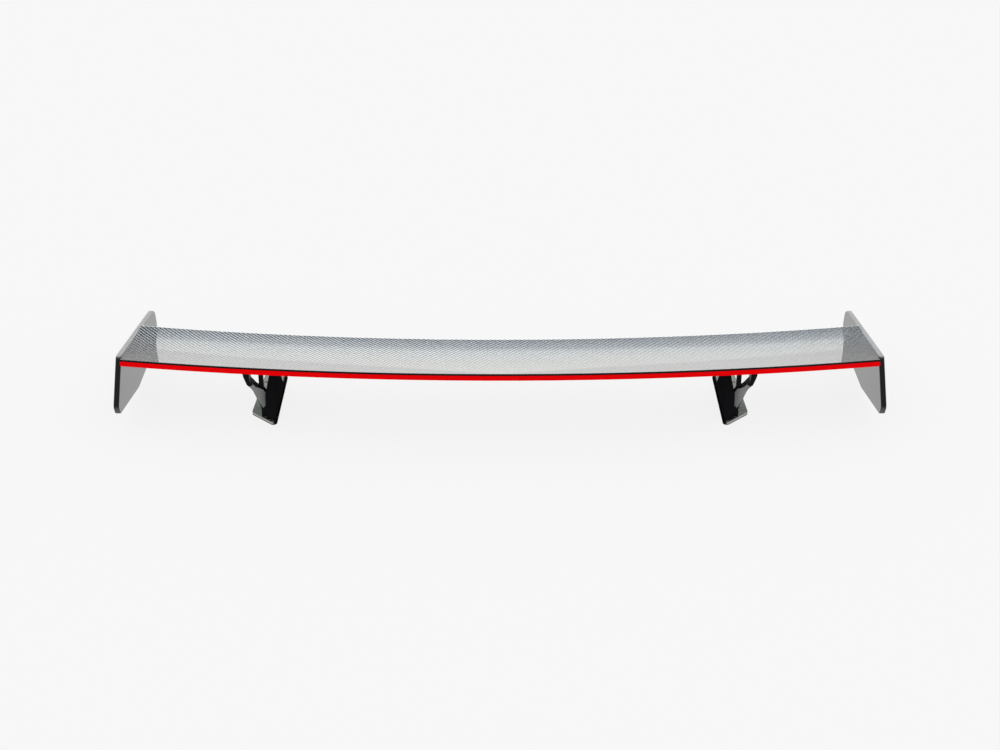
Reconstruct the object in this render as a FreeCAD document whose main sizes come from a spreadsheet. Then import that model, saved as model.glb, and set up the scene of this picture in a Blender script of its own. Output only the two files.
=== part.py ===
import FreeCAD, Part
import math
import os
from FreeCAD import Placement, Rotation, Vector

# A racing rear wing: a bowed carbon blade with a light bar in its trailing edge, two end plates
# and two bolt-on supports. Row frame: +X across the car, +Y towards its nose, +Z up. The origin is
# under the middle of the wing, on the surface that the feet stand on.

doc = FreeCAD.newDocument("racing_rear_wing")

DIMENSIONS = [
    # Wing layout
    ("span_inner", 1260.0, "between the inner faces of the end plates"),
    ("bow_radius", 3630.0, "plan radius of the trailing edge"),
    ("sweep_angle", 22.8, "angle swept by the blade before its ends are trimmed"),
    ("edge_y", -191.5, "trailing edge's upper corner at mid span, along Y"),
    ("edge_z", 121.2, "trailing edge's upper corner above the ground"),
    # Blade section
    ("edge_slope", 11.55, "upper surface's fall at the trailing edge, degrees"),
    ("upper_radius", 1350.0, "hollow of the upper surface"),
    ("under_slope", 22.0, "underside's fall at the trailing edge, degrees"),
    ("under_radius", 440.0, "belly of the underside"),
    ("nose_radius", 8.6, "leading edge"),
    ("skin_thick", 1.4, "carbon skin"),
    ("lip_thick", 3.1, "carbon lip above the light bar"),
    ("spar_front", 120.5, "spar's front face from the trailing edge"),
    ("spar_depth", 23.5, "spar's flanges, front to back"),
    ("spar_wall", 2.4, "spar's web and flanges"),
    # Light bar
    ("lens_height", 7.75, "red lens, over the lower skin's edge"),
    ("lens_flange", 1.5, "lens face in front of the channel"),
    ("lens_bulge", 0.5, "crown of the lens face"),
    ("channel_depth", 14.0, "light bar from the trailing edge to the channel's back"),
    ("channel_wall", 1.0, "aluminium channel"),
    ("lens_plug", 3.5, "part of the lens inside the channel"),
    ("board_thick", 1.2, "light board"),
    ("chip_size", 2.8, "square light chip"),
    ("chip_height", 1.6, "light chip on its board"),
    ("chip_pitch", 20.0, "from chip to chip"),
    # Ends
    ("rib_thick", 8.0, "end rib"),
    ("plate_thick", 9.4, "end plate"),
    ("plate_edge", 1.6, "rounding of the end plate's edges"),
    ("insert_radius", 4.5, "threaded insert"),
    ("screw_radius", 2.5, "M5 screw"),
    ("screw_clearance", 0.25, "between an M5 screw and its hole"),
    ("head_radius", 4.6, "M5 button head"),
    ("head_height", 2.8, "M5 button head"),
    ("socket_flats", 3.0, "hexagon socket across its flats"),
    ("socket_depth", 1.6, "hexagon socket"),
    ("washer_radius", 5.4, "M5 washer"),
    ("washer_thick", 1.0, "M5 washer"),
    # Supports
    ("support_z", 120.0, "height that the supports' outlines are measured from"),
    ("support_x", 378.0, "upright's inboard face from mid span"),
    ("gasket_thick", 1.5, "rubber gasket under the foot"),
    ("foot_thick", 3.5, "foot plate"),
    ("foot_hole_radius", 2.75, "M5 clearance hole in the foot"),
    ("foot_hole_pitch", 100.0, "between the foot's two holes"),
    ("pad_thick", 5.0, "flange under the blade"),
]

sheet = doc.addObject("Spreadsheet::Sheet", "Dimensions")
for row, (alias, value, note) in enumerate(DIMENSIONS, start=1):
    sheet.set(f"A{row}", alias)
    sheet.set(f"B{row}", str(value))
    sheet.set(f"C{row}", note)
    sheet.setAlias(f"B{row}", alias)
doc.recompute()


def dim(alias):
    return float(sheet.get(alias))


EDGE_Y = dim("edge_y")
EDGE_Z = dim("edge_z")
HALF_SPAN = dim("span_inner") / 2
PLATE = dim("plate_thick")
SKIN = dim("skin_thick")
LIP = dim("lip_thick")
FOOT_TOP = dim("gasket_thick") + dim("foot_thick")
SCREW = dim("screw_radius")
sub_parts = []


# ---- Blade section: n runs forward from the trailing edge, z up from its upper corner ----

edge_angle = math.radians(dim("edge_slope"))
ALONG = Vector(math.cos(edge_angle), -math.sin(edge_angle), 0)
DOWN = Vector(-math.sin(edge_angle), -math.cos(edge_angle), 0)
stack_height = LIP + dim("lens_height")
upper_centre = DOWN * -dim("upper_radius")
under_start = DOWN * stack_height
under_angle = math.radians(dim("under_slope"))
under_normal = Vector(math.sin(under_angle), math.cos(under_angle), 0)
under_centre = under_start + under_normal * dim("under_radius")


def circle_crossing(centre_a, radius_a, centre_b, radius_b):
    """Forward crossing of two circles."""
    apart = centre_b - centre_a
    length = apart.Length
    along = (length ** 2 + radius_a ** 2 - radius_b ** 2) / (2 * length)
    across = math.sqrt(radius_a ** 2 - along ** 2)
    unit = apart / length
    middle = centre_a + unit * along
    sides = [middle + Vector(-unit.y, unit.x, 0) * across, middle - Vector(-unit.y, unit.x, 0) * across]
    return max(sides, key=lambda point: point.x)


NOSE = dim("nose_radius")
nose_centre = circle_crossing(
    upper_centre, dim("upper_radius") + NOSE, under_centre, dim("under_radius") - NOSE
)


def upper(n, inset=0.0):
    """Point on the upper surface, or on the line that runs inset below it."""
    radius = dim("upper_radius") + inset
    return Vector(n, upper_centre.y - math.sqrt(radius ** 2 - (n - upper_centre.x) ** 2), 0)


def under(n, inset=0.0):
    """Point on the underside, or on the line that runs inset above it."""
    radius = dim("under_radius") - inset
    return Vector(n, under_centre.y - math.sqrt(radius ** 2 - (n - under_centre.x) ** 2), 0)


def bar(along, down):
    """Point in the light bar's own directions."""
    return ALONG * along + DOWN * down


def nose_points(inset=0.0):
    """The nose arc's start on the upper surface, its tip and its end on the underside."""
    radius = NOSE - inset
    start = nose_centre + (upper_centre - nose_centre).normalize() * radius
    end = nose_centre + (nose_centre - under_centre).normalize() * radius
    tip = nose_centre + Vector(math.cos(math.radians(-8)), math.sin(math.radians(-8)), 0) * radius
    return start, tip, end


def between(point_a, point_b, centre):
    """Middle of the shorter arc from point_a to point_b about centre."""
    radius = (point_a - centre).Length
    return centre + ((point_a + point_b) / 2 - centre).normalize() * radius


def arc(point_a, point_b, centre):
    return Part.Arc(point_a, between(point_a, point_b, centre), point_b)


def line(point_a, point_b):
    return Part.LineSegment(point_a, point_b)


# ---- Tools that turn outlines into objects of the document ----

SECTION_TURN = Rotation(Vector(0, 0, 1), 90) * Rotation(Vector(1, 0, 0), 90)


def sketch(name, geometry, placement):
    outline = doc.addObject("Sketcher::SketchObject", name)
    outline.Placement = placement
    outline.addGeometry(geometry, False)
    return outline


def sweep(name, geometry):
    """Turn a blade section about the bow's axis, wide enough to be trimmed at both ends."""
    outline = sketch(name + "_section", geometry, Placement(Vector(0, EDGE_Y, EDGE_Z), SECTION_TURN))
    swept = doc.addObject("Part::Revolution", name + "_sweep")
    swept.Source = outline
    swept.Axis = Vector(0, 0, 1)
    swept.Solid = True
    swept.Symmetric = True
    swept.setExpression("Base.y", "Dimensions.edge_y + Dimensions.bow_radius")
    swept.setExpression("Angle", "Dimensions.sweep_angle")
    return swept


def block(name, low, high, expressions=None):
    """Box between two corners, with any of its sizes bound to the sheet."""
    cuboid = doc.addObject("Part::Box", name)
    cuboid.Length = high[0] - low[0]
    cuboid.Width = high[1] - low[1]
    cuboid.Height = high[2] - low[2]
    cuboid.Placement = Placement(Vector(*low), Rotation())
    for target, expression in (expressions or {}).items():
        cuboid.setExpression(target, expression)
    return cuboid


def common(name, base, tool):
    result = doc.addObject("Part::Common", name)
    result.Base = base
    result.Tool = tool
    return result


def fuse(name, shapes):
    result = doc.addObject("Part::MultiFuse", name)
    result.Shapes = shapes
    return result


def cut(name, base, tools):
    result = doc.addObject("Part::Cut", name)
    result.Base = base
    result.Tool = tools[0] if len(tools) == 1 else fuse(name + "_tools", tools)
    return result


def extrude(name, geometry, placement, length, expression=None):
    """Sketch pulled along its own normal."""
    outline = sketch(name + "_outline", geometry, placement)
    pulled = doc.addObject("Part::Extrusion", name)
    pulled.Base = outline
    pulled.DirMode = "Normal"
    pulled.LengthFwd = length
    pulled.Solid = True
    if expression:
        pulled.setExpression("LengthFwd", expression)
    return pulled


def mirrored(name, source):
    """The same piece on the wing's other side."""
    result = doc.addObject("Part::Mirroring", name)
    result.Source = source
    result.Normal = Vector(1, 0, 0)
    return result


def keep(name, shape_object):
    shape_object.Label = name
    sub_parts.append(shape_object)


def keep_pair(name, left):
    keep(name + "_left", left)
    keep(name + "_right", mirrored(name + "_right", left))


def rounded(corners):
    """Closed outline through (u, v, radius) corners, each rounded by its radius."""
    points = [Vector(u, v, 0) for u, v, _ in corners]
    ends = []
    geometry = []
    for index, (_, _, radius) in enumerate(corners):
        corner = points[index]
        back = (points[index - 1] - corner).normalize()
        ahead = (points[(index + 1) % len(points)] - corner).normalize()
        if radius == 0:
            ends.append((corner, corner))
            continue
        half = back.getAngle(ahead) / 2
        reach = radius / math.tan(half)
        start = corner + back * reach
        stop = corner + ahead * reach
        centre = corner + (back + ahead).normalize() * (radius / math.sin(half))
        geometry.append(arc(start, stop, centre))
        ends.append((start, stop))
    for index, (_, stop) in enumerate(ends):
        geometry.append(line(stop, ends[(index + 1) % len(ends)][0]))
    return geometry


def circle(u, v, radius):
    return Part.Circle(Vector(u, v, 0), Vector(0, 0, 1), radius)


def revolve_tool(name, geometry, position, direction):
    """Turned piece: half outline in (radius, height) about its own axis, set along direction."""
    outline = sketch(name + "_outline", geometry, Placement(Vector(), Rotation(Vector(1, 0, 0), 90)))
    turned = doc.addObject("Part::Revolution", name)
    turned.Source = outline
    turned.Axis = Vector(0, 0, 1)
    turned.Angle = 360
    turned.Solid = True
    turned.Placement = Placement(position, Rotation(Vector(0, 0, 1), direction))
    return turned


def polygon(points):
    vectors = [Vector(u, v, 0) for u, v in points]
    return [line(a, b) for a, b in zip(vectors, vectors[1:] + vectors[:1])]


# ---- Blade skins, cores and spar ----

BAR_BACK = dim("channel_depth")
BAR_LOW = stack_height - SKIN
FLANGE_BACK = dim("lens_flange")
step_upper = upper(BAR_BACK + 2, SKIN)
step_under = under(BAR_BACK + 2, SKIN)
lip_round = LIP / 2
lip_top = upper(lip_round * ALONG.x)
lip_low = bar(lip_round, LIP)
nose_start, nose_tip, nose_end = nose_points()
inner_start, inner_tip, inner_end = nose_points(SKIN)

envelope = sweep("blade_envelope", [
    arc(Vector(), nose_start, upper_centre),
    Part.Arc(nose_start, nose_tip, nose_end),
    arc(nose_end, under_start, under_centre),
    line(under_start, Vector()),
])

span_box = block(
    "span_trim", (-HALF_SPAN, -400, 0), (HALF_SPAN, 400, 200),
    {"Length": "Dimensions.span_inner", "Placement.Base.x": "-Dimensions.span_inner / 2"},
)
core_box = block(
    "core_trim", (-HALF_SPAN, -400, 0), (HALF_SPAN, 400, 200),
    {
        "Length": "Dimensions.span_inner - 2 * Dimensions.rib_thick",
        "Placement.Base.x": "-Dimensions.span_inner / 2 + Dimensions.rib_thick",
    },
)

upper_sweep = sweep("upper_skin", [
    arc(lip_top, nose_start, upper_centre),
    arc(nose_start, nose_tip, nose_centre),
    line(nose_tip, inner_tip),
    arc(inner_tip, inner_start, nose_centre),
    arc(inner_start, step_upper, upper_centre),
    line(step_upper, bar(BAR_BACK, LIP)),
    line(bar(BAR_BACK, LIP), lip_low),
    Part.Arc(lip_low, bar(0, lip_round), lip_top),
])
keep("upper_skin", common("upper_skin_body", upper_sweep, span_box))

skin_start = under(bar(FLANGE_BACK, stack_height).x)
under_sweep = sweep("lower_skin", [
    line(skin_start, bar(FLANGE_BACK, BAR_LOW)),
    line(bar(FLANGE_BACK, BAR_LOW), bar(BAR_BACK, BAR_LOW)),
    line(bar(BAR_BACK, BAR_LOW), step_under),
    arc(step_under, inner_end, under_centre),
    arc(inner_end, inner_tip, nose_centre),
    line(inner_tip, nose_tip),
    arc(nose_tip, nose_end, nose_centre),
    arc(nose_end, skin_start, under_centre),
])

inner_sweep = sweep("blade_inside", [
    arc(step_upper, inner_start, upper_centre),
    Part.Arc(inner_start, inner_tip, inner_end),
    arc(inner_end, step_under, under_centre),
    line(step_under, bar(BAR_BACK, BAR_LOW)),
    line(bar(BAR_BACK, BAR_LOW), bar(BAR_BACK, LIP)),
    line(bar(BAR_BACK, LIP), step_upper),
])

SPAR_FRONT = dim("spar_front")
SPAR_BACK = SPAR_FRONT - dim("spar_depth")
WEB_BACK = SPAR_FRONT - dim("spar_wall")
FLANGE = SKIN + dim("spar_wall")
spar_sweep = sweep("main_spar", [
    arc(upper(SPAR_BACK, SKIN), upper(SPAR_FRONT, SKIN), upper_centre),
    line(upper(SPAR_FRONT, SKIN), under(SPAR_FRONT, SKIN)),
    arc(under(SPAR_FRONT, SKIN), under(SPAR_BACK, SKIN), under_centre),
    line(under(SPAR_BACK, SKIN), under(SPAR_BACK, FLANGE)),
    arc(under(SPAR_BACK, FLANGE), under(WEB_BACK, FLANGE), under_centre),
    line(under(WEB_BACK, FLANGE), upper(WEB_BACK, FLANGE)),
    arc(upper(WEB_BACK, FLANGE), upper(SPAR_BACK, FLANGE), upper_centre),
    line(upper(SPAR_BACK, FLANGE), upper(SPAR_BACK, SKIN)),
])
keep("main_spar", common("main_spar_body", spar_sweep, core_box))

front_sweep = sweep("front_core", [
    arc(upper(SPAR_FRONT, SKIN), inner_start, upper_centre),
    Part.Arc(inner_start, inner_tip, inner_end),
    arc(inner_end, under(SPAR_FRONT, SKIN), under_centre),
    line(under(SPAR_FRONT, SKIN), upper(SPAR_FRONT, SKIN)),
])
rear_sweep = sweep("rear_core", [
    arc(step_upper, upper(SPAR_BACK, SKIN), upper_centre),
    line(upper(SPAR_BACK, SKIN), under(SPAR_BACK, SKIN)),
    arc(under(SPAR_BACK, SKIN), step_under, under_centre),
    line(step_under, bar(BAR_BACK, BAR_LOW)),
    line(bar(BAR_BACK, BAR_LOW), bar(BAR_BACK, LIP)),
    line(bar(BAR_BACK, LIP), step_upper),
])


# ---- Light bar: channel, board, chips and red lens ----

WALL = dim("channel_wall")
PLUG_BACK = FLANGE_BACK + dim("lens_plug")
BOARD_BACK = BAR_BACK - WALL
BOARD_FRONT = BOARD_BACK - dim("board_thick")
CHANNEL_TOP = LIP + WALL
CHANNEL_LOW = BAR_LOW - WALL


def bar_polygon(points):
    vectors = [bar(along, down) for along, down in points]
    return [line(a, b) for a, b in zip(vectors, vectors[1:] + vectors[:1])]


channel_sweep = sweep("light_channel", bar_polygon([
    (FLANGE_BACK, LIP), (BAR_BACK, LIP), (BAR_BACK, BAR_LOW), (FLANGE_BACK, BAR_LOW),
    (FLANGE_BACK, CHANNEL_LOW), (BOARD_BACK, CHANNEL_LOW), (BOARD_BACK, CHANNEL_TOP),
    (FLANGE_BACK, CHANNEL_TOP),
]))
keep("light_channel", common("light_channel_body", channel_sweep, span_box))

board_sweep = sweep("light_board", bar_polygon([
    (BOARD_FRONT, CHANNEL_TOP), (BOARD_BACK, CHANNEL_TOP),
    (BOARD_BACK, CHANNEL_LOW), (BOARD_FRONT, CHANNEL_LOW),
]))
keep("light_board", common("light_board_body", board_sweep, core_box))

BULGE = dim("lens_bulge")
lens_corners = [
    (BULGE, LIP), (FLANGE_BACK, LIP), (FLANGE_BACK, CHANNEL_TOP), (PLUG_BACK, CHANNEL_TOP),
    (PLUG_BACK, CHANNEL_LOW), (FLANGE_BACK, CHANNEL_LOW), (FLANGE_BACK, stack_height),
    (BULGE, stack_height),
]
lens_section = bar_polygon(lens_corners)[:-1]
lens_section.append(Part.Arc(
    bar(BULGE, stack_height), bar(0, (LIP + stack_height) / 2), bar(BULGE, LIP)
))
keep("light_lens", common("light_lens_body", sweep("light_lens", lens_section), span_box))

chip = dim("chip_size")
board_radius = dim("bow_radius") - BOARD_FRONT * ALONG.x
chip_middle = bar(BOARD_FRONT - dim("chip_height"), (LIP + BAR_LOW) / 2)
chip_count = int((2 * HALF_SPAN - 40) / dim("chip_pitch"))
chip_boxes = []
for index in range(chip_count):
    turn = (index - (chip_count - 1) / 2) * dim("chip_pitch") / board_radius
    box = Part.makeBox(chip, dim("chip_height"), chip, Vector(-chip / 2, 0, -chip / 2))
    box.Placement = Placement(Vector(), Rotation(Vector(1, 0, 0), -dim("edge_slope")))
    box.translate(Vector(0, EDGE_Y + chip_middle.x, EDGE_Z + chip_middle.y))
    box.rotate(Vector(0, EDGE_Y + dim("bow_radius"), 0), Vector(0, 0, 1), math.degrees(turn))
    chip_boxes.append(box)
chips = doc.addObject("Part::Feature", "light_chips_body")
chips.Shape = Part.makeCompound(chip_boxes)
keep("light_chips", chips)


# ---- Fasteners ----

def hexagon_tool(name, depth, position, direction):
    """Prism for a hexagon socket."""
    prism = doc.addObject("Part::Prism", name)
    prism.Polygon = 6
    prism.Circumradius = dim("socket_flats") / math.sqrt(3)
    prism.Height = depth
    prism.Placement = Placement(position, Rotation(Vector(0, 0, 1), direction))
    return prism


def button_screw(name, seat, direction, length):
    """Button-head screw: direction points from the seat towards the head."""
    head = dim("head_radius")
    height = dim("head_height")
    crown = Vector(head * 0.45, height, 0)
    outline = [
        line(Vector(0, -length, 0), Vector(SCREW, -length, 0)),
        line(Vector(SCREW, -length, 0), Vector(SCREW, 0, 0)),
        line(Vector(SCREW, 0, 0), Vector(head, 0, 0)),
        Part.Arc(Vector(head, 0, 0), Vector(head * 0.82, height * 0.66, 0), crown),
        line(crown, Vector(0, height, 0)),
        line(Vector(0, height, 0), Vector(0, -length, 0)),
    ]
    blank = revolve_tool(name + "_blank", outline, seat, direction)
    socket_floor = seat + direction * (height - dim("socket_depth"))
    socket = hexagon_tool(name + "_socket", dim("socket_depth") + 1, socket_floor, direction)
    return cut(name, blank, [socket])


def flat_screw(name, seat, direction, length):
    """Countersunk screw whose flat head ends at the seat."""
    head = dim("head_radius")
    cone = head - SCREW
    outline = polygon([(0, -length), (SCREW, -length), (SCREW, -cone), (head, 0), (0, 0)])
    blank = revolve_tool(name + "_blank", outline, seat, direction)
    socket = hexagon_tool(
        name + "_socket", dim("socket_depth") + 1, seat - direction * dim("socket_depth"), direction
    )
    return cut(name, blank, [socket])


def countersink(name, seat, direction, length):
    """Cutting tool for a countersunk screw, with the screw's clearance."""
    gap = dim("screw_clearance")
    head = dim("head_radius")
    cone = head - SCREW
    outline = polygon([
        (0, -length), (SCREW + gap, -length), (SCREW + gap, -cone), (head + gap, 0),
        (head + gap, 1), (0, 1),
    ])
    return revolve_tool(name, outline, seat, direction)


def rod(name, radius, low, direction, length):
    cylinder = doc.addObject("Part::Cylinder", name)
    cylinder.Radius = radius
    cylinder.Height = length
    cylinder.Placement = Placement(low, Rotation(Vector(0, 0, 1), direction))
    return cylinder


def ring(name, outer, inner, low, direction, length):
    return cut(
        name,
        rod(name + "_disc", outer, low, direction, length),
        [rod(name + "_hole", inner, low - direction, direction, length + 2)],
    )


# ---- End plates with their ribs, inserts, washers and screws ----

OUT = Vector(-1, 0, 0)
tip_bow = dim("bow_radius") - math.sqrt(dim("bow_radius") ** 2 - HALF_SPAN ** 2)
tip_y = EDGE_Y + tip_bow
plate_y = EDGE_Y + 18
plate_z = 7.0

plate_corners = [
    (plate_y + 51, EDGE_Z + 1.0, 9),
    (plate_y + 357, plate_z + 64.5, 26),
    (plate_y + 376, plate_z, 30),
    (plate_y + 164, plate_z, 60),
    (plate_y + 6, plate_z + 29, 12),
    (plate_y - 3.5, plate_z + 46, 10),
]
screw_places = []
for n in (38, 108, 166):
    middle = (upper(n) + under(n)) / 2
    screw_places.append((tip_y + n, EDGE_Z + middle.y))

plate_body = doc.addObject("PartDesign::Body", "end_plate_left_body")
planes = {feature.Role: feature for feature in plate_body.Origin.OriginFeatures}
plate_sketch = plate_body.newObject("Sketcher::SketchObject", "plate_outline")
plate_sketch.AttachmentSupport = [(planes["YZ_Plane"], "")]
plate_sketch.MapMode = "FlatFace"
plate_sketch.addGeometry(rounded(plate_corners), False)
plate_pad = plate_body.newObject("PartDesign::Pad", "plate_pad")
plate_pad.Profile = plate_sketch
plate_pad.setExpression("Length", "Dimensions.plate_thick")
plate_body.Placement = Placement(Vector(-HALF_SPAN - PLATE, 0, 0), Rotation())
plate_body.setExpression("Placement.Base.x", "-Dimensions.span_inner / 2 - Dimensions.plate_thick")
doc.recompute()

hole_sketch = plate_body.newObject("Sketcher::SketchObject", "plate_holes")
hole_sketch.AttachmentSupport = [(planes["YZ_Plane"], "")]
hole_sketch.MapMode = "FlatFace"
for y, z in screw_places:
    hole_sketch.addGeometry(circle(y, z, SCREW + dim("screw_clearance")), False)
plate_pocket = plate_body.newObject("PartDesign::Pocket", "plate_pocket")
plate_pocket.Profile = hole_sketch
plate_pocket.Reversed = True
plate_pocket.setExpression("Length", "Dimensions.plate_thick")
doc.recompute()

hole_length = 2 * math.pi * (SCREW + dim("screw_clearance"))
rim = [
    f"Edge{index}"
    for index, edge in enumerate(plate_pocket.Shape.Edges, start=1)
    if edge.BoundBox.XLength < 0.01 and abs(edge.Length - hole_length) > 0.01
]
plate_round = plate_body.newObject("PartDesign::Fillet", "plate_round")
plate_round.Base = (plate_pocket, rim)
plate_round.setExpression("Radius", "Dimensions.plate_edge")
doc.recompute()
keep_pair("end_plate", plate_body)

rib_left = block(
    "rib_trim", (-HALF_SPAN, -400, 0), (-HALF_SPAN + 8, 400, 200), {"Length": "Dimensions.rib_thick"}
)
insert_seats = [
    rod(f"rib_bore_{k}", dim("insert_radius"), Vector(-HALF_SPAN - 1, y, z), -OUT, dim("rib_thick") + 2)
    for k, (y, z) in enumerate(screw_places)
]
keep_pair("tip_rib", cut("tip_rib", common("tip_rib_blank", inner_sweep, rib_left), insert_seats))

tip_inserts = [
    ring(
        f"tip_insert_{k}", dim("insert_radius"), SCREW, Vector(-HALF_SPAN, y, z), -OUT, dim("rib_thick")
    )
    for k, (y, z) in enumerate(screw_places)
]
keep_pair("tip_inserts", fuse("tip_inserts", tip_inserts))

plate_face = -HALF_SPAN - PLATE
washers = [
    ring(
        f"plate_washer_{k}", dim("washer_radius"), SCREW + 0.2, Vector(plate_face, y, z), OUT,
        dim("washer_thick"),
    )
    for k, (y, z) in enumerate(screw_places)
]
keep_pair("plate_washers", fuse("plate_washers", washers))

screw_reach = dim("washer_thick") + PLATE + dim("rib_thick") - 1
plate_screws = [
    button_screw(
        f"plate_screw_{k}", Vector(plate_face - dim("washer_thick"), y, z), OUT, screw_reach
    )
    for k, (y, z) in enumerate(screw_places)
]
keep_pair("plate_screws", fuse("plate_screws", plate_screws))


# ---- Supports: the left one is drawn, the right one is its mirror image ----

SUPPORT_Z = dim("support_z")
FOOT_Z = FOOT_TOP - SUPPORT_Z


def at(x, n, z):
    """Place beside mid span: x outboard, n forward of the trailing edge, z above the datum."""
    return Vector(-x, EDGE_Y + n, SUPPORT_Z + z)


WALL_X = dim("support_x")

foot_corners = [
    (WALL_X - 2, 46, 6), (WALL_X + 44, 93, 8), (WALL_X + 38, 240, 8), (WALL_X - 2, 240, 8),
]
foot_outline = rounded([(-x, EDGE_Y + n, radius) for x, n, radius in foot_corners])
foot_hole_x = WALL_X + 33
foot_hole_n = (108, 108 + dim("foot_hole_pitch"))
UP = Vector(0, 0, 1)


def flat_body(name, outline, thickness_name, height, holes, hole_radius):
    """Flat plate with bolt holes, as a padded and pocketed body."""
    body = doc.addObject("PartDesign::Body", name)
    base_plane = {feature.Role: feature for feature in body.Origin.OriginFeatures}["XY_Plane"]
    outline_sketch = body.newObject("Sketcher::SketchObject", name + "_outline")
    outline_sketch.AttachmentSupport = [(base_plane, "")]
    outline_sketch.MapMode = "FlatFace"
    outline_sketch.addGeometry(outline, False)
    pad = body.newObject("PartDesign::Pad", name + "_pad")
    pad.Profile = outline_sketch
    pad.setExpression("Length", "Dimensions." + thickness_name)
    doc.recompute()
    holes_sketch = body.newObject("Sketcher::SketchObject", name + "_holes")
    holes_sketch.AttachmentSupport = [(base_plane, "")]
    holes_sketch.MapMode = "FlatFace"
    for x, y in holes:
        holes_sketch.addGeometry(circle(x, y, hole_radius), False)
    pocket = body.newObject("PartDesign::Pocket", name + "_pocket")
    pocket.Profile = holes_sketch
    pocket.Reversed = True
    pocket.setExpression("Length", "Dimensions." + thickness_name)
    body.Placement = Placement(Vector(0, 0, height), Rotation())
    doc.recompute()
    return body


foot_holes = [(-foot_hole_x, EDGE_Y + n) for n in foot_hole_n]
gasket = flat_body(
    "foot_gasket_left", foot_outline, "gasket_thick", 0, foot_holes, dim("foot_hole_radius")
)
keep_pair("foot_gasket", gasket)

foot_blank = flat_body(
    "foot_plate_blank", foot_outline, "foot_thick", dim("gasket_thick"), foot_holes,
    dim("foot_hole_radius"),
)
foot_screw_seats = [at(WALL_X + 8.5, n, dim("gasket_thick") - SUPPORT_Z) for n in (112, 146, 180)]
foot_sinks = [countersink(f"foot_sink_{k}", seat, -UP, 20) for k, seat in enumerate(foot_screw_seats)]
keep_pair("foot_plate", cut("foot_plate", foot_blank, foot_sinks))

foot_screws = [flat_screw(f"foot_screw_{k}", seat, -UP, 16) for k, seat in enumerate(foot_screw_seats)]
keep_pair("foot_screws", fuse("foot_screws", foot_screws))

# Screws through the flanges, square to the underside where they enter it.
flange_places = {"arm": ((441, 84), (441, 106)), "wall": ((367, 92), (367, 152))}


def under_frame(x, n_plan):
    """Point and outward normal of the underside below a place in plan."""
    bow_y = EDGE_Y + dim("bow_radius")
    spoke = Vector(-x, EDGE_Y + n_plan - bow_y, 0)
    depth = dim("bow_radius") - spoke.Length
    point = under(depth)
    slope = (point - under_centre).normalize()
    outward = spoke.normalize() * -slope.x + Vector(0, 0, slope.y)
    return Vector(-x, EDGE_Y + n_plan, EDGE_Z + point.y), outward


seat_depth = dim("pad_thick") - 0.3
seats = {}
for owner, places in flange_places.items():
    seats[owner] = []
    for x, n in places:
        point, outward = under_frame(x, n)
        seats[owner].append((point + outward * seat_depth, outward))


def seat_tools(owner):
    """Clearance holes and spot faces for one flange's screws."""
    tools = []
    for k, (seat, outward) in enumerate(seats[owner]):
        name = f"{owner}_seat_{k}"
        tools.append(rod(name + "_bore", SCREW + dim("screw_clearance"), seat - outward * 30, outward, 40))
        tools.append(rod(name + "_face", dim("washer_radius") + 0.6, seat, outward, 6))
    return tools


def block_holes(name):
    tools = []
    for owner in seats:
        for k, (seat, outward) in enumerate(seats[owner]):
            tools.append(rod(f"{name}_{owner}_{k}", SCREW, seat - outward * 30, outward, 40))
    return tools


flange_band = sweep("flange_band", [
    arc(under(20), under(176), under_centre),
    line(under(176), under(176, -dim("pad_thick"))),
    arc(under(176, -dim("pad_thick")), under(20, -dim("pad_thick")), under_centre),
    line(under(20, -dim("pad_thick")), under(20)),
])

FRONT_VIEW = Rotation(Vector(1, 0, 0), 90)
TOP_VIEW = Rotation()


def front_outline(points):
    """Outline seen along the car: (x outboard, z) corners."""
    return [(-x, SUPPORT_Z + z, radius) for x, z, radius in points]


def side_outline(points):
    return [(EDGE_Y + n, SUPPORT_Z + z, radius) for n, z, radius in points]


# Upright wall: what its front, side and top outlines have in common.
wall_front = extrude(
    "wall_front_view",
    rounded(front_outline([
        (WALL_X, FOOT_Z, 0), (WALL_X + 17, FOOT_Z, 0), (WALL_X + 17, -72, 30), (WALL_X + 10, -40, 30),
        (WALL_X + 10, -24, 0), (WALL_X, -24, 0),
    ])),
    Placement(Vector(0, EDGE_Y + 300, 0), FRONT_VIEW), 300,
)
wall_side = extrude(
    "wall_side_view",
    rounded(side_outline([
        (61, FOOT_Z, 0), (196, FOOT_Z, 4), (168, -88, 30), (148, -60, 26), (146, -24, 0), (86, -24, 0),
        (80, -44, 40),
    ])),
    Placement(Vector(-WALL_X - 40, 0, 0), SECTION_TURN), 60,
)
wall_top = extrude(
    "wall_top_view",
    rounded([
        (-WALL_X, EDGE_Y + 60, 3), (-WALL_X - 17, EDGE_Y + 68, 3), (-WALL_X - 17, EDGE_Y + 260, 0),
        (-WALL_X, EDGE_Y + 260, 0),
    ]),
    Placement(Vector(0, 0, 0), TOP_VIEW), EDGE_Z,
)
wall_blank = common("wall_blank", common("wall_two_views", wall_front, wall_side), wall_top)
wall_flange = common(
    "wall_flange", flange_band,
    block("wall_flange_trim", at(WALL_X + 20, 78, -100), at(WALL_X - 20, 164, 0)),
)
arm_screw_seats = [at(WALL_X, n, -104) for n in (83, 94)]
IN = Vector(1, 0, 0)
arm_sinks = [countersink(f"arm_sink_{k}", seat, IN, 30) for k, seat in enumerate(arm_screw_seats)]
foot_bores = [rod(f"foot_bore_{k}", SCREW, seat, UP, 16) for k, seat in enumerate(foot_screw_seats)]
wall_solid = fuse("wall_solid", [cut("wall_under_blade", wall_blank, [envelope]), wall_flange])
keep_pair("upright", cut("upright", wall_solid, seat_tools("wall") + arm_sinks + foot_bores))

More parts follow.
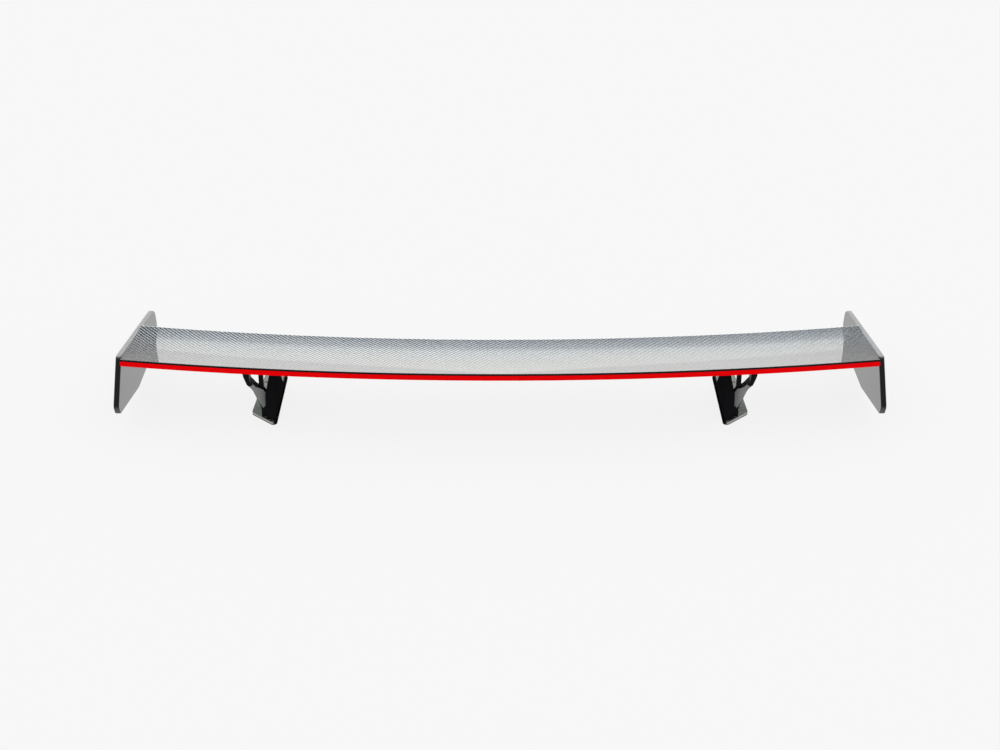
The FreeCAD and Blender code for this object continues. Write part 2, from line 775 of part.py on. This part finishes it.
# Outer arm: a root on the upright, a strut that leans outboard to a lug, and a short rib beside it.
ARM_FRONT = 98
ARM_DEPTH = 21
RIB_DEPTH = 12
arm_root = WALL_X + 17
strut_front = extrude(
    "strut_front_view",
    rounded(front_outline([
        (arm_root, FOOT_Z, 0), (arm_root + 8.5, FOOT_Z, 0), (arm_root + 8.5, -97, 24),
        (418, -62.5, 30), (425.5, -56.5, 6), (431.5, -40, 30), (433, -20, 0), (421.5, -20, 0),
        (421, -50, 4), (411, -62, 8), (399.7, -68, 12), (arm_root, -76, 0),
    ])),
    Placement(Vector(0, EDGE_Y + ARM_FRONT, 0), FRONT_VIEW), ARM_DEPTH,
)
rib_front = extrude(
    "rib_front_view",
    rounded(front_outline([(399.7, -72, 0), (406.6, -68, 0), (406.6, -20, 0), (399.7, -20, 0)])),
    Placement(Vector(0, EDGE_Y + ARM_FRONT, 0), FRONT_VIEW), RIB_DEPTH,
)

# Milled facet along the strut: a wedge that leaves a narrow flat at the outer edge.
FACET_START = (400.7, -99)
FACET_WIDTH = 26
FACET_FALL = 13
lean = Vector(-21.5, 0, 41).normalize()
inward = Vector(lean.z, 0, -lean.x)
facet = extrude(
    "strut_facet",
    polygon([(0, 0), (FACET_WIDTH, FACET_FALL), (FACET_WIDTH, -5), (0, -5)]),
    Placement(
        at(FACET_START[0], ARM_FRONT - ARM_DEPTH, FACET_START[1]),
        Rotation(inward, Vector(0, 1, 0), lean, "ZXY"),
    ),
    45,
)
arm_front = fuse("arm_front", [cut("strut_milled", strut_front, [facet]), rib_front])
arm_flange = common(
    "arm_flange", flange_band, block("arm_flange_trim", at(450, 74, -100), at(401, 116, 0))
)
arm_bores = [rod(f"arm_bore_{k}", SCREW, seat, OUT, 40) for k, seat in enumerate(arm_screw_seats)]
arm_solid = fuse("arm_solid", [cut("arm_under_blade", arm_front, [envelope]), arm_flange])
keep_pair("outer_arm", cut("outer_arm", arm_solid, seat_tools("arm") + arm_bores))

arm_screws = [flat_screw(f"arm_screw_{k}", seat, IN, 23) for k, seat in enumerate(arm_screw_seats)]
keep_pair("arm_screws", fuse("arm_screws", arm_screws))

flange_washers = []
flange_screws = []
for owner in seats:
    for k, (seat, outward) in enumerate(seats[owner]):
        flange_washers.append(ring(
            f"{owner}_washer_{k}", dim("washer_radius"), SCREW + 0.2, seat, outward,
            dim("washer_thick"),
        ))
        flange_screws.append(button_screw(
            f"{owner}_screw_{k}", seat + outward * dim("washer_thick"), outward, 18
        ))
keep_pair("flange_washers", fuse("flange_washers", flange_washers))
keep_pair("flange_screws", fuse("flange_screws", flange_screws))


# ---- Hard points inside the blade, and the pieces that make room for them ----

def hard_point(name, corner_a, corner_b):
    return common(name + "_blank", inner_sweep, block(name + "_trim", at(*corner_a), at(*corner_b)))


rear_point = hard_point("rear_hard_point", (452, 76, -100), (356, 110, 20))
front_point = hard_point("front_hard_point", (400, 145, -100), (354, 168, 20))
keep_pair("rear_hard_point", cut("rear_hard_point", rear_point, block_holes("rear_point_hole")))
keep_pair("front_hard_point", cut("front_hard_point", front_point, block_holes("front_point_hole")))

# Grommet for the light bar's lead, in the underside just inboard of the left support.
lead_point, lead_outward = under_frame(330, 62)
lead_bore = rod("lead_bore", 5.0, lead_point - lead_outward * 6, lead_outward, 12)
grommet_outline = polygon([
    (2.2, -3.4), (6.6, -3.4), (6.6, -1.7), (4.9, -1.7), (4.9, 0.15), (7.0, 0.15), (6.2, 2.0), (2.2, 2.0),
])
keep("lead_grommet", revolve_tool("lead_grommet_body", grommet_outline, lead_point, lead_outward))
grommet_room = rod("grommet_room", 7.2, lead_point - lead_outward * 9, lead_outward, 9)

rear_room = [rear_point, mirrored("rear_room_right", rear_point), grommet_room]
front_room = [front_point, mirrored("front_room_right", front_point)]
keep("rear_core", cut("rear_core_body", common("rear_core_blank", rear_sweep, core_box), rear_room))
keep("front_core", cut("front_core_body", common("front_core_blank", front_sweep, core_box), front_room))

skin_bores = []
for owner in seats:
    for k, (seat, outward) in enumerate(seats[owner]):
        bore_radius = SCREW + dim("screw_clearance")
        skin_bores.append(rod(f"skin_bore_{owner}_{k}", bore_radius, seat - outward * 12, outward, 20))
skin_bores += [mirrored(tool.Name + "_right", tool) for tool in skin_bores]
skin_body = common("lower_skin_body", under_sweep, span_box)
keep("lower_skin", cut("lower_skin_bored", skin_body, skin_bores + [lead_bore]))


# ---- Check every object, then write each sub-part ----

doc.recompute()
for item in doc.Objects:
    if "Invalid" in item.State or "Error" in item.State:
        raise RuntimeError(f"{item.Name} failed: {item.State}")
for item in sub_parts:
    if item.Shape.isNull() or not item.Shape.isValid() or not item.Shape.Solids:
        raise RuntimeError(f"{item.Label} has no valid solid")

os.makedirs("parts", exist_ok=True)
for item in sub_parts:
    item.Shape.exportStep(f"parts/{item.Label}.step")
    print(f"{item.Label}: {len(item.Shape.Solids)} solids, {item.Shape.Volume / 1000:.2f} cm3")
print(f"{len(sub_parts)} nodes")
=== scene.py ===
import math

import bpy
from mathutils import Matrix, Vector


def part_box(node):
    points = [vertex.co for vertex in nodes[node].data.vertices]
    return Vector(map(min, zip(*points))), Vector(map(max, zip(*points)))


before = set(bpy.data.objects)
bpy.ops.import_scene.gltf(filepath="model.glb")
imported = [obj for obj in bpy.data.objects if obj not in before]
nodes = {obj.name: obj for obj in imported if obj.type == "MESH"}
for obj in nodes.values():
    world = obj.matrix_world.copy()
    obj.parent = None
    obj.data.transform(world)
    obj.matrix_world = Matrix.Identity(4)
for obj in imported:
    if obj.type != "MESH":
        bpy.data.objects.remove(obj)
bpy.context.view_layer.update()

scene = bpy.context.scene


# ---- Studio ----
# The wing stands on a pale floor under soft light, seen from behind and above at mid span.
# A long bright panel stands far ahead of it; two narrow dark flags hide the panel from the tips.

CAMERA_PLACE = (0.0, -2.8896, 1.4356)
CAMERA_DIP = 25.99
PALE = 0.93

camera_data = bpy.data.cameras.new("camera")
camera_data.sensor_width = 36.0
camera_data.lens = 66.3
camera = bpy.data.objects.new("camera", camera_data)
camera.location = CAMERA_PLACE
camera.rotation_euler = (math.radians(90 - CAMERA_DIP), 0.0, 0.0)
scene.collection.objects.link(camera)
scene.camera = camera
scene.view_settings.view_transform = "Standard"


class Socket:
    """One output of a shader node. Arithmetic on it adds Math nodes to the same material."""

    def __init__(self, tree, output):
        self.tree = tree
        self.output = output

    def node(self, kind, settings=None, output=0, **sockets):
        """Adds a node: its settings, which output to give back, then its inputs' values or links.

        An input is named by its label with _ for a space, or i0, i1 ... by its number.
        """
        made = self.tree.nodes.new(kind)
        for name, value in (settings or {}).items():
            if name == "stops":
                ramp = made.color_ramp
                for index, (place, colour) in enumerate(value):
                    stop = ramp.elements[index] if index < 2 else ramp.elements.new(place)
                    stop.position = place
                    stop.color = colour
            else:
                setattr(made, name, value)
        for name, value in sockets.items():
            numbered = name[0] == "i" and name[1:].isdigit()
            key = int(name[1:]) if numbered else name.replace("_", " ")
            target = made.inputs[key]
            if isinstance(value, Socket):
                self.tree.links.new(value.output, target)
            else:
                target.default_value = value
        return Socket(self.tree, made.outputs[output])

    def math(self, operation, first, second=0.0, third=0.0):
        return self.node("ShaderNodeMath", {"operation": operation}, i0=first, i1=second, i2=third)

    def __add__(self, other):
        return self.math("ADD", self, other)

    __radd__ = __add__

    def __mul__(self, other):
        return self.math("MULTIPLY", self, other)

    __rmul__ = __mul__

    def __sub__(self, other):
        return self.math("SUBTRACT", self, other)

    def __rsub__(self, other):
        return self.math("SUBTRACT", other, self)

    def __truediv__(self, other):
        return self.math("DIVIDE", self, other)

    def __pow__(self, other):
        return self.math("POWER", self, other)

    def __lt__(self, other):
        return self.math("LESS_THAN", self, other)

    def __mod__(self, other):
        """Remainder that stays positive."""
        return self.math("FLOORED_MODULO", self, other)

    def __gt__(self, other):
        return self.math("GREATER_THAN", self, other)

    def smooth(self, low, high):
        """0 below low, 1 above high, with a soft step between."""
        return self.node("ShaderNodeMapRange", {"interpolation_type": "SMOOTHSTEP"}, 0,
                         Value=self, From_Min=low, From_Max=high)

    def absolute(self):
        return self.math("ABSOLUTE", self)

    def at_most(self, limit):
        return self.math("MINIMUM", self, limit)

    def floor(self):
        return self.math("FLOOR", self)

    def fraction(self):
        return self.math("FRACT", self)

    def sine(self):
        return self.math("SINE", self)

    def root(self):
        return self.math("SQRT", self.math("MAXIMUM", self, 0.0))

    def separate(self):
        split = self.tree.nodes.new("ShaderNodeSeparateXYZ")
        self.tree.links.new(self.output, split.inputs[0])
        return [Socket(self.tree, axis) for axis in split.outputs]

    def vector(self, x, y, z=0.0):
        return self.node("ShaderNodeCombineXYZ", None, 0, X=x, Y=y, Z=z)

    def stretched(self, *scale):
        return self.node("ShaderNodeMapping", None, 0, Vector=self, Scale=scale)

    def noise(self, scale, detail=2.0):
        return self.node("ShaderNodeTexNoise", None, 0, Vector=self, Scale=scale, Detail=detail)

    def bump(self, strength, distance):
        """Normal of a surface with this socket as its height."""
        return self.node("ShaderNodeBump", None, 0, Strength=strength, Distance=distance, Height=self)

    def blend(self, low, high):
        """Colour between low and high, with this socket as the factor."""
        mixed = self.tree.nodes.new("ShaderNodeMix")
        mixed.data_type = "RGBA"
        self.tree.links.new(self.output, mixed.inputs[0])
        for index, colour in ((6, low), (7, high)):
            if isinstance(colour, Socket):
                self.tree.links.new(colour.output, mixed.inputs[index])
            else:
                mixed.inputs[index].default_value = (*colour, 1.0)
        return Socket(self.tree, mixed.outputs[2])


def new_material(name):
    """Empty material with its Principled shader, and the place on the object as a socket."""
    material = bpy.data.materials.new(name)
    material.use_nodes = True
    tree = material.node_tree
    shader = tree.nodes["Principled BSDF"]
    place = tree.nodes.new("ShaderNodeTexCoord")
    return material, shader, Socket(tree, place.outputs["Object"])


def finish_shader(shader, values=None, links=None):
    for name, value in (values or {}).items():
        shader.inputs[name].default_value = value
    for name, source in (links or {}).items():
        source.tree.links.new(source.output, shader.inputs[name])


def paint(material, *names):
    """Gives a node's every material slot the one material."""
    for name in names:
        slots = nodes[name].data.materials
        if not slots:
            slots.append(material)
        for index in range(len(slots)):
            slots[index] = material


def both(name):
    return name + "_left", name + "_right"


def flat_panel(name, corners, strength, level=None):
    """Emitting card that the camera itself doesn't see. level(place) gives its light as a socket."""
    mesh = bpy.data.meshes.new(name)
    mesh.from_pydata(corners, [], [tuple(range(len(corners)))])
    panel = bpy.data.objects.new(name, mesh)
    scene.collection.objects.link(panel)
    material, shader, place = new_material(name)
    finish_shader(shader, {
        "Base Color": (0.0, 0.0, 0.0, 1.0), "Specular IOR Level": 0.0,
        "Emission Color": (1.0, 1.0, 1.0, 1.0), "Emission Strength": strength,
    }, {"Emission Color": level(place)} if level else None)
    mesh.materials.append(material)
    panel.visible_camera = False
    panel.visible_shadow = False
    panel.visible_diffuse = False


def lying_card(name, half_width, start, end, strength):
    """Card on the floor from start to end, along the wing's own direction of travel."""
    flat_panel(name, [
        (-half_width, start, CARD_LIFT), (half_width, start, CARD_LIFT),
        (half_width, end, CARD_LIFT), (-half_width, end, CARD_LIFT),
    ], strength)


def standing_card(name, half_width, place, height, strength, level=None):
    """Upright card across the scene at the given place along Y."""
    flat_panel(name, [
        (-half_width, place, 0.0), (half_width, place, 0.0),
        (half_width, place, height), (-half_width, place, height),
    ], strength, level)


world = bpy.data.worlds.new("studio")
world.use_nodes = True
world.node_tree.nodes["Background"].inputs[0].default_value = (PALE, PALE, PALE, 1.0)
scene.world = world

FLOOR_REACH = 60
floor_mesh = bpy.data.meshes.new("studio_floor")
floor_mesh.from_pydata([
    (-FLOOR_REACH, -FLOOR_REACH, 0), (FLOOR_REACH, -FLOOR_REACH, 0),
    (FLOOR_REACH, FLOOR_REACH, 0), (-FLOOR_REACH, FLOOR_REACH, 0),
], [], [(0, 1, 2, 3)])
floor = bpy.data.objects.new("studio_floor", floor_mesh)
scene.collection.objects.link(floor)
floor_material, floor_shader, floor_place = new_material("pale_floor")
finish_shader(floor_shader, {
    "Base Color": (0.09, 0.09, 0.09, 1.0), "Roughness": 1.0, "Specular IOR Level": 0.0,
    "Emission Color": (1.0, 1.0, 1.0, 1.0), "Emission Strength": 0.85,
})
floor_mesh.materials.append(floor_material)

CARD_LIFT = 0.002
PANEL_Y = 9.0
PANEL_HALF_WIDTH = 4.5
PANEL_TALL = 6.0
PANEL_STRENGTH = 2.0
BAND_HEIGHT = 0.86
BAND_RISE = 0.35


def panel_level(place):
    """Bright low down, dark near the top, with a dimmer band along the foot."""
    x, y, z = place.separate()
    drift = place.vector(x * 0.25, z * 1.2).noise(1.0)
    height = (z + (drift - 0.5) * 0.25) / PANEL_TALL
    ramp = height.node("ShaderNodeValToRGB", {"stops": [
        (0.14, (1.0, 1.0, 0.97, 1.0)), (0.30, (0.93, 0.94, 0.91, 1.0)),
        (0.37, (0.82, 0.85, 0.85, 1.0)), (0.42, (0.36, 0.39, 0.42, 1.0)),
        (0.46, (0.06, 0.075, 0.09, 1.0)), (0.80, (0.07, 0.09, 0.11, 1.0)),
        (1.0, (0.3, 0.32, 0.35, 1.0)),
    ]}, 0, Fac=height)
    foot_edge = z - x.absolute() * BAND_RISE - BAND_HEIGHT
    return foot_edge.smooth(-0.03, 0.03).blend((0.80, 0.80, 0.79), ramp)


standing_card("front_panel", PANEL_HALF_WIDTH, PANEL_Y, PANEL_TALL, PANEL_STRENGTH, panel_level)


def flag_level(place):
    """Nearly black, a little lighter toward the floor."""
    x, y, z = place.separate()
    return z.smooth(0.3, 2.6).blend((0.26, 0.26, 0.26), (0.03, 0.03, 0.035))


FLAG_Y = PANEL_Y - 0.02
flag_outline = [
    (2.05, 0.0), (2.355, 0.0), (2.37, 1.0), (2.385, 1.4), (2.42, 3.2), (2.52, PANEL_TALL),
    (2.5, PANEL_TALL), (2.29, 3.17), (2.18, 1.9), (2.105, 0.76),
]
for side in (-1, 1):
    flat_panel("dark_flag", [(side * x, FLAG_Y, z) for x, z in flag_outline], PANEL_STRENGTH, flag_level)

lying_card("front_reflector", 6, 0.35, PANEL_Y - 0.1, 1.6)
lying_card("rear_black", 6, -6, -0.26, 0.4)
standing_card("rear_wall", 12, -8, 12, 0.2)


# ---- Blade skins ----
# Two shells of prepreg carbon, 1.4 mm thick, laid up in a female mould and joined at the nose.
# The outer ply is two-by-two twill that follows the bow, under a glossy clear coat.

BOW_RADIUS = 3.63
EDGE_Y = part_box("upper_skin")[0].y
TOW = 0.0022
LIP_BLACK = 0.0032


def bow_places(place):
    """Distance along the bow and forward of the trailing edge, as sockets."""
    x, y, z = place.separate()
    back = EDGE_Y + BOW_RADIUS - y
    along = place.math("ARCTAN2", x, back) * BOW_RADIUS
    ahead = BOW_RADIUS - (x * x + back * back).root()
    return along, ahead, z


def twill(place, tow):
    """Masks and heights of a two-by-two twill: 1 where the tow that runs forward is on top."""
    along, ahead, z = bow_places(place)
    across = along / tow
    forward = ahead / tow
    column = across.floor()
    row = forward.floor()
    forward_on_top = (column + row) % 4.0 < 2.0
    forward_float = ((forward + column) % 4.0) * (math.pi / 2)
    across_float = ((across + row) % 4.0 - 2.0) * (math.pi / 2)
    forward_dome = (1.0 - (across.fraction() * 2.0 - 1.0) ** 2.0).root()
    across_dome = (1.0 - (forward.fraction() * 2.0 - 1.0) ** 2.0).root()
    forward_height = forward_dome * (forward_float.sine() * 0.45 + 0.55)
    across_height = across_dome * (across_float.sine() * 0.45 + 0.55)
    height = forward_on_top * forward_height + (1.0 - forward_on_top) * across_height
    return forward_on_top, height, across, forward


carbon, carbon_shader, carbon_place = new_material("clear_coated_twill")
forward_tows, tow_height, across_count, forward_count = twill(carbon_place, TOW)
carbon_ahead = bow_places(carbon_place)[1]
rear_lip = carbon_ahead < LIP_BLACK
FIBRE_FINE = 8.0
FIBRE_LONG = 0.35
fibre_turn = forward_tows * (FIBRE_FINE - FIBRE_LONG)
fibre_streaks = carbon_place.vector(
    across_count * (fibre_turn + FIBRE_LONG), forward_count * (FIBRE_FINE - fibre_turn),
).noise(1.0)
# Painted reflection: the tows on top across the span go from near black at the trailing edge to pale
# bluish grey toward the nose, with a painted highlight on each one's crown; the forward tows get
# slightly darker toward the nose as painted shade.
nose_reflection_ramp = carbon_ahead.smooth(0.01, 0.17)
highlight_tow = nose_reflection_ramp.blend((0.045, 0.045, 0.045), (0.82, 0.87, 0.92))
dark_tow_and_shade = nose_reflection_ramp.blend((0.020, 0.020, 0.021), (0.008, 0.009, 0.011))
weave = (forward_tows + rear_lip).at_most(1.0)
lit = (1.0 - weave) * tow_height.smooth(0.15, 0.80)
tow_colour = lit.blend(dark_tow_and_shade, highlight_tow)
shaded_tow = tow_colour.node(
    "ShaderNodeMix", {"data_type": "RGBA", "blend_type": "MULTIPLY"}, 2,
    i0=1.0, i6=tow_colour, i7=(0.62, 0.63, 0.65, 1.0),
)
streaked = (fibre_streaks * 0.4).blend(tow_colour, shaded_tow)
finish_shader(carbon_shader, {
    "IOR": 1.5, "Specular IOR Level": 0.1, "Coat Roughness": 0.0, "Coat IOR": 1.5,
}, {
    "Coat Weight": 1.0 - rear_lip * 0.9,
    "Base Color": rear_lip.blend(streaked, (0.004, 0.004, 0.005)),
    "Metallic": 1.0 - weave * 0.9,
    "Roughness": fibre_streaks * 0.1 + 0.22,
    "Normal": tow_height.bump(0.35, 0.0002),
})
paint(carbon, "upper_skin", "lower_skin")


# ---- Spar, tip ribs and foam cores ----
# A box spar of bare carbon and two tip ribs carry the skins; PMI foam fills the space between.
# The spar is unidirectional tape along the span, trimmed flush with the ribs and bonded in.

bare_carbon, bare_shader, bare_place = new_material("bare_carbon_tape")
bare_x, bare_y, bare_z = bare_place.separate()
fibres = bare_place.vector(bare_x * 6.0, bare_y * 900.0, bare_z * 900.0).noise(1.0, 3.0)
resin = bare_place.noise(35.0, 4.0)
TAPE_WIDTH = 0.025
tape_edge = ((bare_y / TAPE_WIDTH).fraction() - 0.5).absolute() > 0.485
finish_shader(bare_shader, {"Specular IOR Level": 0.4}, {
    "Base Color": tape_edge.blend(
        fibres.blend((0.012, 0.012, 0.014), (0.06, 0.062, 0.068)), (0.008, 0.008, 0.009)),
    "Roughness": resin.smooth(0.42, 0.6) * 0.3 + 0.35,
    "Normal": fibres.bump(0.5, 0.0002),
})
paint(bare_carbon, "main_spar", *both("tip_rib"))

foam, foam_shader, foam_place = new_material("closed_cell_foam")
cells = foam_place.node("ShaderNodeTexVoronoi", {"feature": "DISTANCE_TO_EDGE"}, 0,
                        Vector=foam_place, Scale=1100.0)
patches = foam_place.noise(14.0, 3.0)
finish_shader(foam_shader, {"Specular IOR Level": 0.25}, {
    "Base Color": cells.smooth(0.0, 0.12).blend(
        (0.74, 0.66, 0.44), patches.blend((0.80, 0.73, 0.52), (0.88, 0.83, 0.64))),
    "Roughness": 0.95 - cells.smooth(0.0, 0.2) * 0.2,
    "Normal": cells.smooth(0.0, 0.25).bump(0.7, 0.0004),
})
paint(foam, "rear_core", "front_core")


# ---- Light bar ----
# A red acrylic lens pressed into an aluminium channel in the blunt trailing edge.
# Behind it a white board carries one square light chip every 20 mm; its lead leaves underneath.

CHIP_PITCH = 0.020

red_lens, lens_shader, lens_place = new_material("red_acrylic")
lens_along = bow_places(lens_place)[0]
chip_wave = (lens_along * (2 * math.pi / CHIP_PITCH)).sine() * 0.5 + 0.5
lens_ripple = lens_place.noise(60.0)
finish_shader(lens_shader, {
    "Specular IOR Level": 0.02, "Emission Strength": 0.52,
}, {
    "Base Color": lens_ripple.blend((0.20, 0.0, 0.001), (0.26, 0.0, 0.001)),
    "Emission Color": chip_wave.blend((0.95, 0.0, 0.0008), (1.0, 0.0, 0.0012)),
    "Roughness": lens_ripple * 0.1 + 0.2,
})
paint(red_lens, "light_lens")

anodised, channel_shader, channel_place = new_material("extruded_aluminium")
channel_along, channel_ahead, channel_z = bow_places(channel_place)
die_lines = channel_place.vector(
    channel_along * 3.0, channel_ahead * 2200.0, channel_z * 2200.0,
).noise(1.0, 3.0)
finish_shader(channel_shader, {"Metallic": 1.0}, {
    "Base Color": die_lines.blend((0.60, 0.61, 0.63), (0.78, 0.79, 0.81)),
    "Roughness": die_lines * 0.2 + 0.28,
    "Normal": die_lines.bump(0.25, 0.0001),
})
paint(anodised, "light_channel")


def chip_distance(place):
    """Distance along the bow to the middle of the nearest chip."""
    along = bow_places(place)[0]
    return ((along / CHIP_PITCH + 0.5).fraction() - 0.5).absolute() * CHIP_PITCH


board, board_shader, board_place = new_material("white_light_board")
from_chip = chip_distance(board_place)
pads = (from_chip > 0.0017) * (from_chip < 0.0026)
traces = (from_chip > 0.0045) * (from_chip < 0.0049)
solder_mask = board_place.noise(500.0)
finish_shader(board_shader, {}, {
    "Base Color": pads.blend(
        traces.blend((0.84, 0.85, 0.83), (0.74, 0.76, 0.70)), (0.72, 0.70, 0.66)),
    "Metallic": pads * 0.9,
    "Roughness": solder_mask * 0.15 + 0.35 - pads * 0.1,
    "Normal": (traces * 0.5 + pads + solder_mask * 0.1).bump(0.3, 0.00005),
})
paint(board, "light_board")

chip_body, chip_shader, chip_place = new_material("light_chip_phosphor")
window = chip_distance(chip_place).smooth(0.00105, 0.0012)
phosphor = chip_place.noise(4000.0, 3.0)
finish_shader(chip_shader, {}, {
    "Base Color": window.blend(
        phosphor.blend((0.86, 0.62, 0.10), (0.95, 0.76, 0.20)), (0.88, 0.87, 0.82)),
    "Roughness": 0.55 - window * 0.25,
    "Normal": (phosphor * (1.0 - window)).bump(0.3, 0.00005),
})
paint(chip_body, "light_chips")


# ---- End plates ----
# Flat gloss black plates with rounded corners, cut from sheet and polished on both faces.
# Each is held to the tip by three screws; the edge facing up is satin, and its grey colour is painted
# highlight from the light above.


def facing(place):
    """The three axes of the direction that the surface faces."""
    return place.node("ShaderNodeNewGeometry", None, 1).separate()


plate_black, plate_shader, plate_place = new_material("gloss_black_plate")
# Painted highlight: only the edge facing up is light grey, with cutter marks in its tone.
lit_top_edge = facing(plate_place)[2].smooth(0.80, 0.95)
peel = plate_place.noise(260.0)
cutter_marks = plate_place.stretched(40.0, 900.0, 900.0).noise(1.0, 3.0)
finish_shader(plate_shader, {"IOR": 1.6}, {
    "Base Color": lit_top_edge.blend(
        (0.006, 0.006, 0.007), cutter_marks.blend((0.34, 0.35, 0.35), (0.46, 0.47, 0.47))),
    "Roughness": lit_top_edge * (cutter_marks * 0.2 + 0.4) + 0.02,
    "Normal": (peel + cutter_marks * lit_top_edge).bump(0.05, 0.0003),
})
paint(plate_black, *both("end_plate"))


# ---- Supports ----
# Cast aluminium uprights and outer arms, finished in satin black with the arm screws in place.
# The grey on the milled facet along each arm's strut and on the rib's side is painted highlight.

support_black, support_shader, support_place = new_material("satin_black_casting")
grain = support_place.noise(900.0, 3.0)
mill_lines = support_place.stretched(60.0, 60.0, 1500.0).noise(1.0)
finish_shader(support_shader, {"Specular IOR Level": 0.0}, {
    "Base Color": mill_lines.blend((0.004, 0.004, 0.005), (0.011, 0.011, 0.012)),
    "Roughness": grain * 0.15 + 0.32,
    "Normal": (grain * 0.6 + mill_lines * 0.4).bump(0.25, 0.0002),
})
paint(support_black, *both("upright"), *both("arm_screws"))

arm_black, arm_shader, arm_place = new_material("satin_black_arm")
arm_x, arm_y, arm_z = facing(arm_place)
arm_grain = arm_place.noise(900.0, 3.0)
leaning = arm_z.smooth(0.08, 0.16) * (1.0 - arm_z.smooth(0.40, 0.5))
facet = leaning * (1.0 - arm_y.smooth(-0.96, -0.7))
inner_side = arm_x.absolute().smooth(0.9, 0.97)
# Painted highlight on the upward-tilted rear facet and the sideways faces, uneven with the grain.
painted_highlight = (facet + inner_side * 0.8) * (arm_grain * 0.3 + 0.85)
finish_shader(arm_shader, {"Specular IOR Level": 0.05}, {
    "Base Color": painted_highlight.at_most(1.0).blend((0.006, 0.006, 0.007), (0.33, 0.34, 0.33)),
    "Roughness": arm_grain * 0.15 + 0.35,
    "Normal": arm_grain.bump(0.25, 0.0002),
})
paint(arm_black, *both("outer_arm"))


# ---- Feet ----
# A light satin aluminium plate under each support, screwed up into the casting by three screws.
# A thin rubber gasket lies between it and the car; two open holes take the car's own bolts.

foot_metal, foot_shader, foot_place = new_material("satin_light_aluminium")
foot_lines = foot_place.stretched(1600.0, 30.0, 300.0).noise(1.0, 3.0)
smudges = foot_place.noise(55.0, 3.0)
# Painted shade: the part of each foot within 0.38 m of the middle, under the upright, is black and not
# metallic.
inboard_shade = 1.0 - foot_place.separate()[0].absolute().smooth(0.380, 0.384)
finish_shader(foot_shader, {"Specular IOR Level": 0.0}, {
    "Base Color": inboard_shade.blend(
        foot_lines.blend((0.34, 0.36, 0.32), (0.46, 0.48, 0.43)), (0.006, 0.006, 0.007)),
    "Metallic": (smudges * 0.2 + 0.7) * (1.0 - inboard_shade),
    "Roughness": smudges * 0.15 + 0.42,
    "Normal": foot_lines.bump(0.2, 0.0001),
})
paint(foot_metal, *both("foot_plate"))

rubber, rubber_shader, rubber_place = new_material("black_rubber")
rubber_grain = rubber_place.noise(1400.0, 3.0)
bloom = rubber_place.noise(40.0, 3.0)
finish_shader(rubber_shader, {"Specular IOR Level": 0.3}, {
    "Base Color": bloom.blend((0.014, 0.014, 0.015), (0.035, 0.035, 0.036)),
    "Roughness": bloom * 0.2 + 0.7,
    "Normal": rubber_grain.bump(0.4, 0.0002),
})
paint(rubber, *both("foot_gasket"), "lead_grommet")


# ---- Hard points ----
# Sawn and face-milled aluminium blocks bonded between the skins, one above each flange.
# They are tapped for the flange screws and never seen from outside.

block, block_shader, block_place = new_material("milled_aluminium_block")
CUTTER_TURN = 5200.0
block_x, block_y, block_z = block_place.separate()
sweep_marks = ((block_x * block_x + block_y * block_y).root() * CUTTER_TURN).sine() * 0.5 + 0.5
block_noise = block_place.noise(300.0, 3.0)
finish_shader(block_shader, {"Metallic": 1.0}, {
    "Base Color": block_noise.blend((0.66, 0.67, 0.69), (0.80, 0.81, 0.82)),
    "Roughness": sweep_marks * 0.1 + block_noise * 0.15 + 0.22,
    "Normal": (sweep_marks * 0.5 + block_noise * 0.5).bump(0.15, 0.0001),
})
paint(block, *both("rear_hard_point"), *both("front_hard_point"))


# ---- Fasteners ----
# Black-oxide steel screws and washers hold the plates, flanges and feet.
# Turned brass inserts are pressed into the tip ribs for the end plates' screws.

oxide, oxide_shader, oxide_place = new_material("black_oxide_steel")
oil = oxide_place.noise(220.0, 3.0)
turning = (oxide_place.noise(3500.0) - 0.5) * 0.5
finish_shader(oxide_shader, {}, {
    "Base Color": oil.blend((0.03, 0.03, 0.033), (0.085, 0.085, 0.095)),
    "Metallic": oil * 0.2 + 0.75,
    "Roughness": oil * 0.25 + 0.25,
    "Normal": turning.bump(0.2, 0.0001),
})
for group in ("plate_washers", "plate_screws", "foot_screws", "flange_washers", "flange_screws"):
    paint(oxide, *both(group))

brass, brass_shader, brass_place = new_material("turned_brass")
LATHE_TURN = 9000.0
lathe_lines = (brass_place.separate()[0] * LATHE_TURN).sine() * 0.5 + 0.5
tarnish = brass_place.noise(400.0, 3.0)
finish_shader(brass_shader, {"Metallic": 1.0}, {
    "Base Color": tarnish.blend((0.78, 0.57, 0.26), (0.62, 0.42, 0.18)),
    "Roughness": tarnish * 0.2 + 0.22,
    "Normal": lathe_lines.bump(0.3, 0.0001),
})
paint(brass, *both("tip_inserts"))
